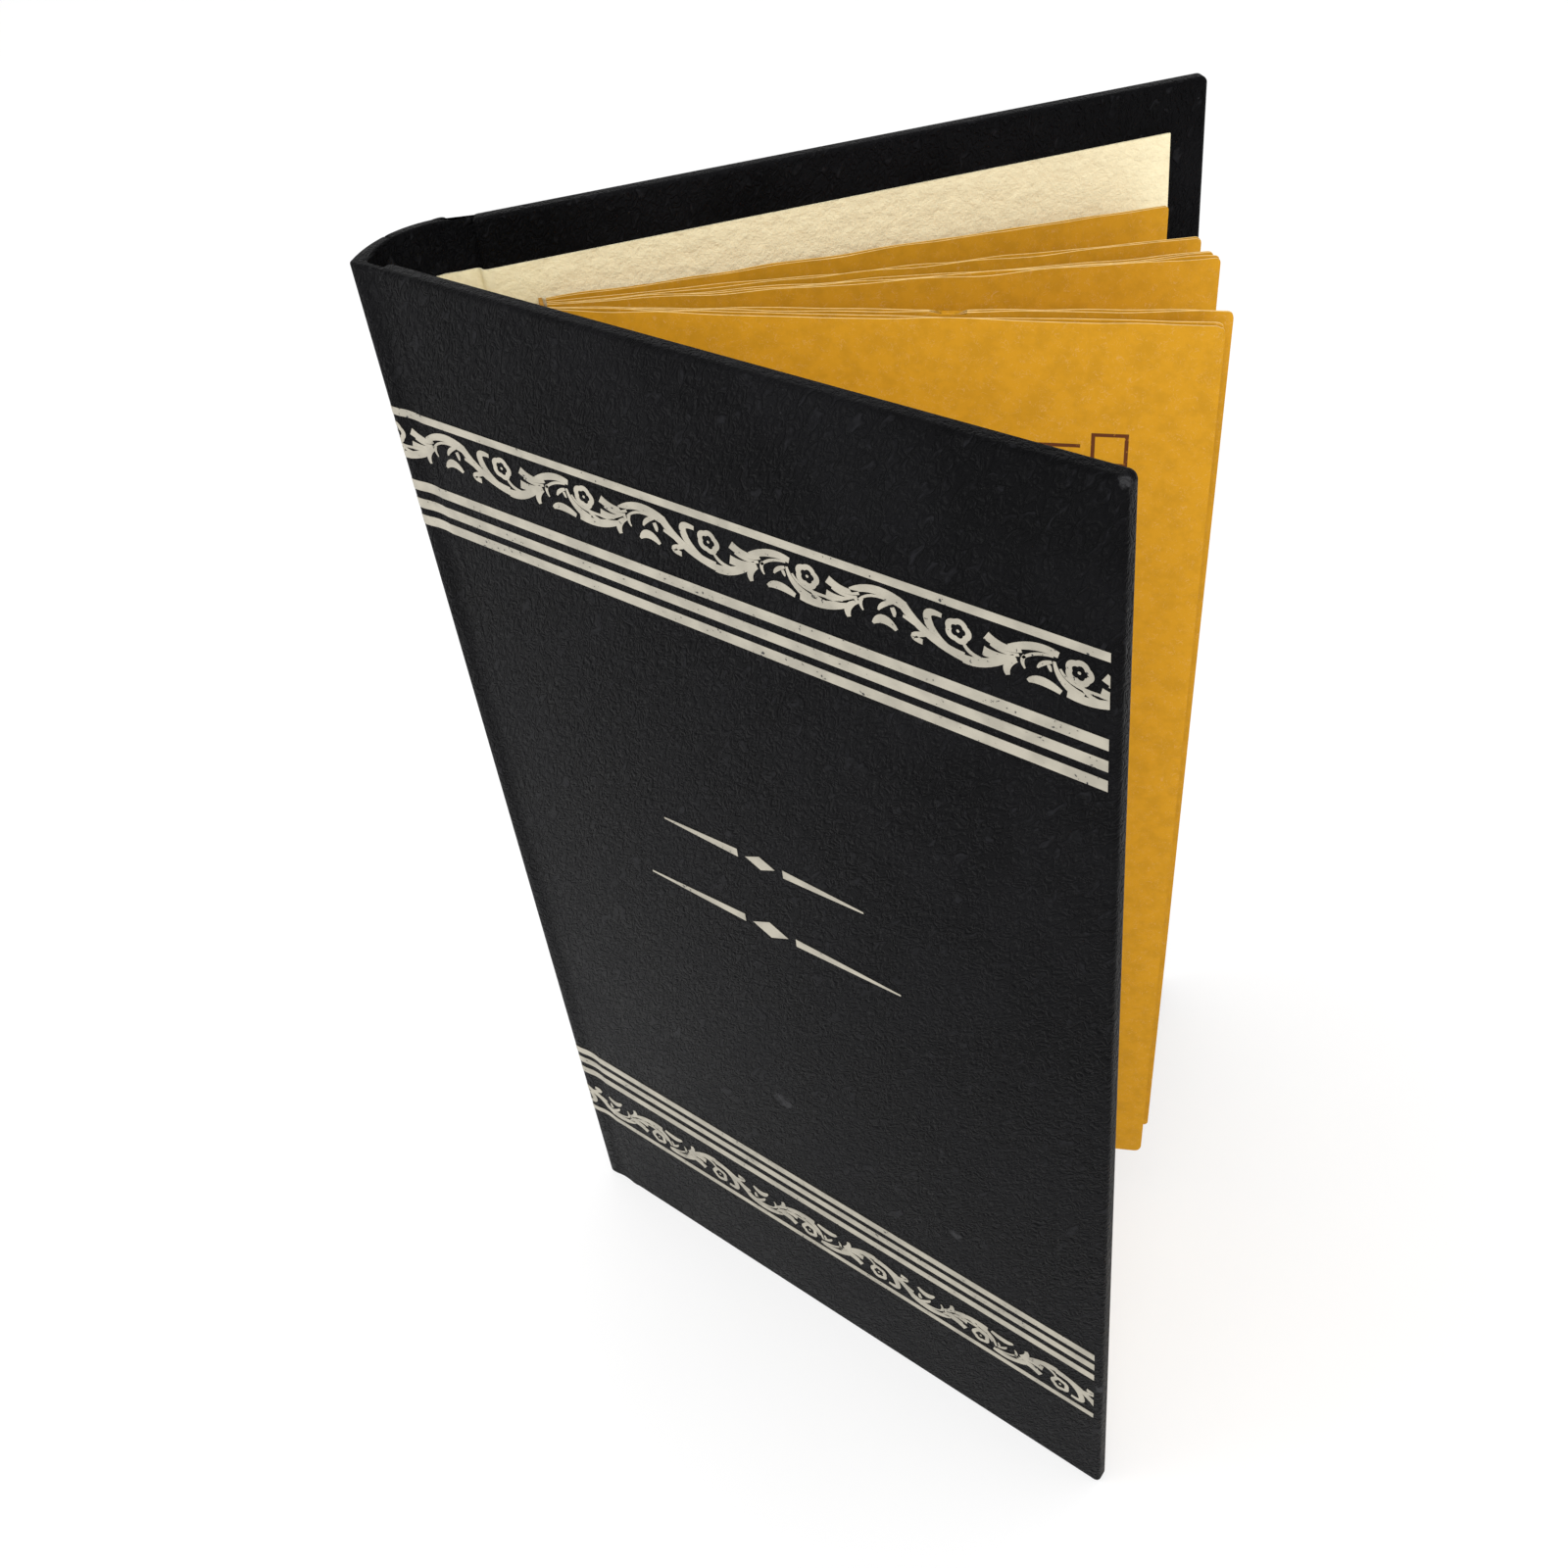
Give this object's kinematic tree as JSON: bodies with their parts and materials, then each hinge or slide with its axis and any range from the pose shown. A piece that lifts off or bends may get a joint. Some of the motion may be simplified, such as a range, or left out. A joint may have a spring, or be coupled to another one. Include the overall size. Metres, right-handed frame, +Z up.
{
  "type": "cash envelope wallet",
  "caption": "Casebound wallet in black embossed paper with foil rules and scroll bands, standing open on a fan of kraft paper envelopes.",
  "frame": {"origin": "middle of the standing wallet's bounding box, at floor level", "axes": "+Z up along the spine; +X along the front cover from the spine to its fore edge; the front cover faces -Y"},
  "size_m": [0.111, 0.0998, 0.194],
  "materials": {
    "cover_paper": "embossed, half gloss",
    "board": "raw",
    "lining": "matt",
    "kraft": "matt",
    "tape": "matt",
    "foil": "worn foil"
  },
  "bodies": {
    "back_cover": {"back_board": "board", "back_cover_paper": "cover_paper", "back_lining": "lining", "binding_tape": "tape", "envelope_1": "kraft", "envelope_2": "kraft", "envelope_3": "kraft", "envelope_4": "kraft", "envelope_5": "kraft", "envelope_6": "kraft"},
    "spine": {"spine_paper": "cover_paper", "spine_card": "board", "spine_lining": "lining"},
    "front_cover": {"front_board": "board", "front_cover_paper": "cover_paper", "front_lining": "lining", "foil_top_rule_outer": "foil", "foil_top_rule_1": "foil", "foil_top_rule_2": "foil", "foil_top_rule_3": "foil", "foil_top_scroll": "foil", "foil_bottom_rule_outer": "foil", "foil_bottom_rule_1": "foil", "foil_bottom_rule_2": "foil", "foil_bottom_rule_3": "foil", "foil_bottom_scroll": "foil"}
  },
  "joints": [
    {"name": "back_hinge", "type": "hinge", "parent": "back_cover", "child": "spine", "pos_m": [-0.05053, -0.03373, 0], "axis": [0, 0, -1], "range_deg": [-51.9, 38.1], "deforming": ["envelope_1", "envelope_2", "envelope_3", "envelope_4", "envelope_5", "envelope_6"]},
    {"name": "front_hinge", "type": "hinge", "parent": "spine", "child": "front_cover", "pos_m": [-0.05053, -0.04833, 0], "axis": [0, 0, -1], "range_deg": [0, 90]}
  ]
}
